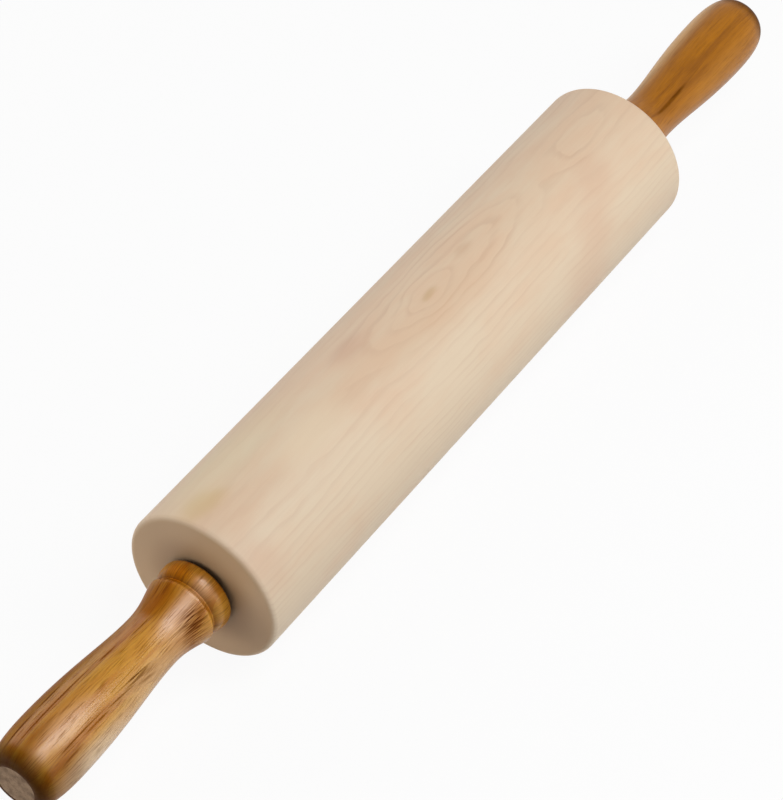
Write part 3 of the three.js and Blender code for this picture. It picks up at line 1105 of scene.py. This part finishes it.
@dataclass
class Axle:
    """The steel rod through the pin, with a threaded stud at each end, and what is clamped on it."""

    rod_radius: float
    rod_end: float
    tip: float
    stud_radius: float = 3.175
    tip_chamfer: float = 0.6
    thread_length: float = 20.0
    thread_pitch: float = 1.27
    thread_depth: float = 0.62
    thread_slope: float = 1.3
    thread_root: float = 0.12
    thread_runout: float = 0.8
    thread_rows: int = 128
    shoulder_ease: float = 0.3
    nut_flats: float = 11.1
    nut_clearance: float = 0.12
    nut_face_share: float = 0.98
    nut_cone_degrees: float = 60.0
    nut_edge: float = 1.0
    nut_edge_rows: int = 12
    nut_thread_rows: int = 48
    washer_hole_radius: float = 3.425
    washer_ease: float = 0.15
    spacer_ease: float = 0.12
    sides: int = 96

    @classmethod
    def from_frame(cls) -> "Axle":
        """Take the rod's sizes from its node, and the shoulder from the spacer that meets it.

        Returns:
            The axle.
        """
        _, high = node_span("axle_rod")
        _, spacer_high = node_span(Side.RIGHT.node("spacer"))
        return cls(rod_radius=high[2], rod_end=spacer_high[0], tip=high[0])

    def thread(self, place: np.ndarray) -> np.ndarray:
        """Radius of the stud's thread at each place and angle.

        The depth follows a triangle wave of the place over the pitch, less the share of a turn, with
        its crests and roots cut flat: a ridge that climbs one pitch a turn.

        Args:
            place: places along X.

        Returns:
            Radii, one row a place and one column a side.
        """
        turn = np.arange(self.sides) / self.sides
        wave = 1 - np.abs(2 * np.mod(place[:, None] / self.thread_pitch - turn, 1.0) - 1)
        ridge = np.clip(self.thread_slope * wave - self.thread_root, 0.0, 1.0)
        return self.stud_radius - FIT_GAP_MM - self.thread_depth * (1 - ridge)

    def build_rod(self, steel: Material) -> Object:
        """Draw the rod with its shoulders, studs, threads and chamfered tips.

        Args:
            steel: the rod's material.

        Returns:
            The piece.
        """
        thread_start = self.tip - self.thread_length
        rows = np.linspace(thread_start, self.tip - self.tip_chamfer, self.thread_rows)
        smooth = np.array([
            (0.0, self.rod_radius),
            (self.rod_end - self.shoulder_ease, self.rod_radius),
            (self.rod_end, self.rod_radius - self.shoulder_ease),
            (self.rod_end, self.stud_radius),
            (thread_start - self.thread_runout, self.stud_radius),
        ])
        point = np.array([(self.tip, self.stud_radius - self.thread_depth - FIT_GAP_MM), (self.tip, 0.0)])
        place = np.concatenate([smooth[:, 0], rows, point[:, 0]])
        radius = np.vstack([
            np.repeat(smooth[:, 1:], self.sides, axis=1),
            self.thread(rows),
            np.repeat(point[:, 1:], self.sides, axis=1),
        ])
        mirrored = np.vstack([
            np.repeat(point[::-1, 1:], self.sides, axis=1),
            self.thread(-rows[::-1]),
            np.repeat(smooth[:0:-1, 1:], self.sides, axis=1),
        ])
        grid = turned(np.concatenate([-place[:0:-1], place]), np.vstack([mirrored, radius]), self.sides)
        rod = skin("axle_rod_drawn", grid, ring=False)
        return install(rod, steel, Body.FIXED.value, Slot.AXLE, "axle_rod")

    def build_nut(self, side: Side, zinc: Material) -> Object:
        """Make the hexagon nut.

        Its outer radius at angle t is half the width across flats over the cosine of t's distance to
        the nearest flat, held under a cone at both faces; its inside follows the stud's thread.

        Args:
            side: which end of the pin.
            zinc: the nut's material.

        Returns:
            The piece.
        """
        low, high = node_span(side.node("nut"))
        angle = np.arange(self.sides) * 2 * math.pi / self.sides
        sixth = math.pi / 3
        flats = self.nut_flats / 2 / np.cos(np.mod(angle + sixth / 2, sixth) - sixth / 2)
        outer = np.concatenate([np.linspace(high[0], high[0] - self.nut_edge, self.nut_edge_rows),
                                np.linspace(low[0] + self.nut_edge, low[0], self.nut_edge_rows)])
        from_face = np.minimum(outer - low[0], high[0] - outer)
        slope = math.tan(math.radians(self.nut_cone_degrees))
        cone = self.nut_flats / 2 * self.nut_face_share + from_face * slope
        inner = np.linspace(low[0], high[0], self.nut_thread_rows)
        radius = np.vstack([self.thread(inner) + self.nut_clearance,
                            np.minimum(flats[None, :], cone[:, None])])
        grid = turned(np.concatenate([inner, outer]), radius, self.sides)
        nut = skin(side.node("nut_pressed"), grid, ring=True)
        return install(nut, zinc, Body.FIXED.value, Slot.ZINC, side.node("nut"))

    def build_ring(
        self, side: Side, part: str, hole: float, ease: float, zinc: Material
    ) -> Object:
        """Make a plain ring on the axle, such as the washer or the spacer, with eased edges.

        Args:
            side: which end of the pin.
            part: the ring's CAD node, without its side.
            hole: radius of its hole.
            ease: how far its edges are rounded.
            zinc: its material.

        Returns:
            The piece.
        """
        low, high = node_span(side.node(part))
        outline = eased([(low[0], hole), (low[0], high[2]), (high[0], high[2]), (high[0], hole)], ease)
        piece = skin(side.node(f"{part}_eased"), turned(outline[:, 0], outline[:, 1], self.sides), ring=True)
        return install(piece, zinc, Body.FIXED.value, Slot.ZINC, side.node(part))

    def build(self, steel: Material, zinc: Material) -> list[Object]:
        """Build the rod and what is clamped on it at both ends.

        Args:
            steel: material of the rod.
            zinc: material of the nuts, washers and spacers.

        Returns:
            The pieces.
        """
        rings = (
            ("washer", self.washer_hole_radius, self.washer_ease),
            ("spacer", self.rod_radius + FIT_GAP_MM, self.spacer_ease),
        )
        pieces = [self.build_rod(steel)]
        for side in Side:
            pieces.append(self.build_nut(side, zinc))
            pieces.extend(self.build_ring(side, part, hole, ease, zinc) for part, hole, ease in rings)
        return pieces


@dataclass
class BallBearing:
    """One deep-groove ball bearing: two races, seven balls in a crown cage, and two shields.

    Outlines are measured from the bearing's middle, outwards along the pin.
    """

    side: Side
    middle: float
    half_width: float
    outer_radius: float
    ball_radius: float
    bore_radius: float = 4.8125
    pitch_radius: float = 7.9475
    groove_radius: float = 2.185
    inner_land: float = 6.5925
    outer_land: float = 9.3025
    shield_seat: float = 0.5
    shield_hole: float = 6.8925
    shield_ease: float = 0.1
    race_ease: float = 0.25
    groove_steps: int = 25
    ball_count: int = 7
    ball_rows: int = 33
    ball_sides: int = 48
    sides: int = 128

    @classmethod
    def from_frame(cls, side: Side) -> "BallBearing":
        """Take the bearing's place and outer sizes from its CAD nodes.

        Args:
            side: which end of the pin.

        Returns:
            The bearing.
        """
        low, high = node_span(Side.RIGHT.node("outer_race"))
        ball_low, ball_high = node_span(Side.RIGHT.node("ball_1"))
        return cls(side=side, middle=(low[0] + high[0]) / 2, half_width=(high[0] - low[0]) / 2,
                   outer_radius=high[2], ball_radius=(ball_high[2] - ball_low[2]) / 2)

    def groove(self, land: float) -> np.ndarray:
        """The ball track in a race: the arc of a circle round the balls' pitch, from land to land.

        Args:
            land: radius of the race beside the track.

        Returns:
            Points as (place, radius), from the inner side outwards.
        """
        rise = land - self.pitch_radius
        reach = math.asin(math.sqrt(self.groove_radius ** 2 - rise ** 2) / self.groove_radius)
        angle = np.linspace(-reach, reach, self.groove_steps)
        return np.column_stack([self.groove_radius * np.sin(angle),
                                self.pitch_radius + math.copysign(self.groove_radius, rise) * np.cos(angle)])

    def build_turned(
        self, part: str, made: str, outline: np.ndarray, steel: Material, body: Body
    ) -> Object:
        """Turn one steel ring of the bearing and dress it.

        Args:
            part: the CAD node that it replaces, without its side.
            made: how it was made, the last word of the piece's name.
            outline: closed outline, measured from the bearing's middle.
            steel: its material.
            body: the body that carries it.

        Returns:
            The piece.
        """
        grid = turned(self.side.value * (self.middle + outline[:, 0]), outline[:, 1], self.sides)
        piece = skin(self.side.node(f"{part}_{made}"), grid, ring=True)
        return install(piece, steel, body.value, Slot.BEARING, self.side.node(part))

    def races(self, steel: Material) -> list[Object]:
        """Build the inner and the outer race.

        Args:
            steel: material of the races.

        Returns:
            The two pieces.
        """
        half = self.half_width
        ease = self.race_ease
        inner = np.vstack([
            [(half - ease, self.bore_radius), (-half + ease, self.bore_radius),
             (-half, self.bore_radius + ease), (-half, self.inner_land)],
            self.groove(self.inner_land),
            [(half, self.inner_land), (half, self.bore_radius + ease)],
        ])
        seat = self.outer_land + self.shield_seat
        _, shield_high = node_span(Side.RIGHT.node("inner_shield"))
        seat_start = self.middle - shield_high[0] - FIT_GAP_MM
        outer = np.vstack([
            [(half - ease, self.outer_radius), (-half + ease, self.outer_radius),
             (-half, self.outer_radius - ease), (-half, seat), (-seat_start, seat),
             (-seat_start, self.outer_land)],
            self.groove(self.outer_land),
            [(seat_start, self.outer_land), (seat_start, seat), (half, seat),
             (half, self.outer_radius - ease)],
        ])
        return [
            self.build_turned("inner_race", "ground", inner, steel, Body.FIXED),
            self.build_turned("outer_race", "ground", outer, steel, Body.TURNING),
        ]

    def shields(self, steel: Material) -> list[Object]:
        """Build the pressed shield on each face of the bearing.

        Args:
            steel: material of the shields.

        Returns:
            The two pieces.
        """
        pieces = []
        for part in ("outer_shield", "inner_shield"):
            low, high = node_span(Side.RIGHT.node(part))
            start, end, rim = low[0] - self.middle, high[0] - self.middle, high[2]
            corners = [(start, self.shield_hole), (start, rim), (end, rim), (end, self.shield_hole)]
            outline = eased(corners, self.shield_ease)
            pieces.append(self.build_turned(part, "pressed", outline, steel, Body.TURNING))
        return pieces

    def balls(self, steel: Material) -> list[Object]:
        """Build the balls: half circles turned round X, each moved to its node's middle.

        Args:
            steel: material of the balls.

        Returns:
            One piece a ball.
        """
        angle = np.linspace(0.0, math.pi, self.ball_rows)
        sphere = turned(-self.ball_radius * np.cos(angle), self.ball_radius * np.sin(angle), self.ball_sides)
        pieces = []
        for number in range(1, self.ball_count + 1):
            node = self.side.node(f"ball_{number}")
            low, high = node_span(node)
            ball = skin(f"{node}_ground", sphere + (low + high) / 2, ring=False)
            pieces.append(install(ball, steel, f"{node}_set", Slot.BEARING, node))
        return pieces

    def dress_cage(self, nylon: Material) -> Object:
        """Give the moulded cage, whose CAD shape stays, its material.

        Args:
            nylon: the cage's material.

        Returns:
            The CAD node's object.
        """
        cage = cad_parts[self.side.node("cage")]
        for slot in cage.material_slots:
            slot.material = nylon
        log.info("%s: CAD shape kept, %s", cage.name, nylon.name)
        return cage

    def build(self, steel: Material, nylon: Material) -> list[Object]:
        """Build the whole bearing.

        Args:
            steel: material of races, balls and shields.
            nylon: material of the cage.

        Returns:
            The pieces.
        """
        return [*self.races(steel), *self.shields(steel), *self.balls(steel), self.dress_cage(nylon)]


# Studio


@dataclass(frozen=True)
class Softbox:
    """A soft light that faces the middle of the pin. Place, width and height are in metres."""

    name: str
    place: tuple[float, float, float]
    width: float
    height: float
    watts: float

    def build(self) -> Object:
        """Make the lamp and aim it.

        Returns:
            The lamp's object.
        """
        lamp = bpy.data.lights.new(self.name, "AREA")
        lamp.shape = "RECTANGLE"
        lamp.size = self.width
        lamp.size_y = self.height
        lamp.energy = self.watts
        stand = bpy.data.objects.new(self.name, lamp)
        stand.location = self.place
        stand.rotation_euler = (-Vector(self.place)).to_track_quat("-Z", "Y").to_euler()
        bpy.context.scene.collection.objects.link(stand)
        return stand


@dataclass(frozen=True)
class PhotoCamera:
    """The camera of the photograph, found from the pin's outline in it."""

    azimuth: float = -56.04
    elevation: float = 45.607
    middle_right_mm: float = 12.51
    middle_up_mm: float = 18.33
    middle_ahead_mm: float = 1233.75
    focal_pixels: float = 3000.45
    image_height_pixels: float = 800.0
    sensor_mm: float = 36.0

    def build(self) -> Object:
        """Make the camera and set it as the scene's.

        The pin's middle lies at the given distances to the right of, above and ahead of the camera.

        Returns:
            The camera's object.
        """
        turn, tilt = math.radians(self.azimuth), math.radians(self.elevation)
        right = np.array([math.cos(turn), math.sin(turn), 0.0])
        back = np.array([math.sin(turn) * math.cos(tilt), -math.cos(turn) * math.cos(tilt), math.sin(tilt)])
        up = np.cross(back, right)
        place = (-self.middle_right_mm * right - self.middle_up_mm * up + self.middle_ahead_mm * back) * MM
        lens = bpy.data.cameras.new("photo_camera")
        lens.sensor_width = self.sensor_mm
        lens.lens = self.focal_pixels / self.image_height_pixels * self.sensor_mm
        camera = bpy.data.objects.new("photo_camera", lens)
        pose = np.eye(4)
        pose[:3] = np.column_stack([right, up, back, place])
        camera.matrix_world = Matrix(pose.tolist())
        bpy.context.scene.collection.objects.link(camera)
        bpy.context.scene.camera = camera
        return camera


@dataclass(frozen=True)
class Studio:
    """White paper floor, soft lamps and a pale surround. Sizes are in metres."""

    floor_half: float = 3.0
    paper: str = "#E2E2E2"
    white: str = "#FFFFFF"
    paper_lift: float = 0.93
    surround: float = 0.11
    lamps: tuple[Softbox, ...] = (
        Softbox("key_softbox", (0.2, -0.46, 0.81), 0.3, 0.72, 4.75),
        Softbox("near_softbox", (-0.12, -0.38, 0.87), 0.24, 0.5, 1.75),
        Softbox("right_softbox", (0.3, -1.1, 0.35), 0.9, 0.7, 3.1),
        Softbox("back_softbox", (0.3, 0.9, 0.55), 0.8, 0.8, 3.1),
        Softbox("left_softbox", (-0.8, 0.45, 0.18), 0.9, 0.38, 2.75),
    )

    def _seen(self, tree: NodeTree, share: float) -> Node:
        """A share for the rays that show the background: camera, glossy and transmission rays.

        Args:
            tree: node tree that gets the nodes.
            share: value for those rays; all others get 0.

        Returns:
            The node that gives the value.
        """
        path = add_node(tree, "LightPath")
        seen = path.outputs["Is Camera Ray"]
        for ray in ("Is Glossy Ray", "Is Transmission Ray"):
            seen = add_node(tree, "Math", {0: seen, 1: path.outputs[ray]}, operation="MAXIMUM")
        return add_node(tree, "Math", {0: seen, 1: share}, operation="MULTIPLY")

    def build_floor(self) -> Object:
        """Lay the floor under the barrel: matt white paper, lifted towards white where it is seen.

        Returns:
            The floor.
        """
        level = CAD_BOX[0][2]
        half = self.floor_half
        mesh = bpy.data.meshes.new("paper_floor")
        corners = [(-half, -half, level), (half, -half, level), (half, half, level), (-half, half, level)]
        mesh.from_pydata(corners, [], [(0, 1, 2, 3)])
        material, tree = start_material("white_paper_matt")
        diffuse = add_node(tree, "BsdfDiffuse", {"Color": hex_to_linear(self.paper)})
        white = add_node(tree, "Emission", {"Color": hex_to_linear(self.white), "Strength": 1.0})
        lift = self._seen(tree, self.paper_lift)
        mixed = add_node(tree, "MixShader", {0: lift, 1: diffuse, 2: white})
        add_node(tree, "OutputMaterial", {"Surface": mixed})
        mesh.materials.append(material)
        floor = bpy.data.objects.new("paper_floor", mesh)
        bpy.context.scene.collection.objects.link(floor)
        return floor

    def build_surround(self) -> None:
        """Set the world: white where it is seen, dimmer where it lights the pin."""
        world = bpy.data.worlds.new("pale_surround")
        world.use_nodes = True
        tree = world.node_tree
        tree.nodes.clear()
        colour = hex_to_linear(self.white)
        fill = add_node(tree, "Background", {"Color": colour, "Strength": self.surround})
        white = add_node(tree, "Background", {"Color": colour, "Strength": 1.0})
        mixed = add_node(tree, "MixShader", {0: self._seen(tree, 1.0), 1: fill, 2: white})
        add_node(tree, "OutputWorld", {"Surface": mixed})
        bpy.context.scene.world = world

    def build(self) -> None:
        """Build the floor, the surround, the lamps and the camera."""
        self.build_floor()
        self.build_surround()
        for lamp in self.lamps:
            lamp.build()
        PhotoCamera().build()
        bpy.context.scene.view_settings.view_transform = "Standard"


def main() -> None:
    """Build the pin piece by piece and set the studio round it."""
    logging.basicConfig(level=logging.INFO, format="%(name)s: %(message)s")
    maple = OiledMaple().material()
    raw = RawPlugWood().material()
    stains = {side: STAINS[side].material() for side in Side}
    rod_steel = WorkedSteel("steel_cold_drawn", "#B4B6B8", "#8E9092", 0.32, (30.0, 0.4, 0.4)).material()
    zinc = WorkedSteel("steel_zinc_plated", "#C3C8CB", "#9EA5AA", 0.38, (1.5, 1.5, 1.5)).material()
    race_steel = WorkedSteel("bearing_steel_ground", "#C9CBCE", "#AEB1B5", 0.16, (0.3, 4.0, 4.0)).material()
    nylon = MouldedNylon().material()

    Barrel.from_frame().build(maple)
    for side in Side:
        Handle.from_frame(side).build(stains[side], raw)
    Axle.from_frame().build(rod_steel, zinc)
    for side in Side:
        BallBearing.from_frame(side).build(race_steel, nylon)
    Studio().build()


if __name__ == "__main__":
    main()
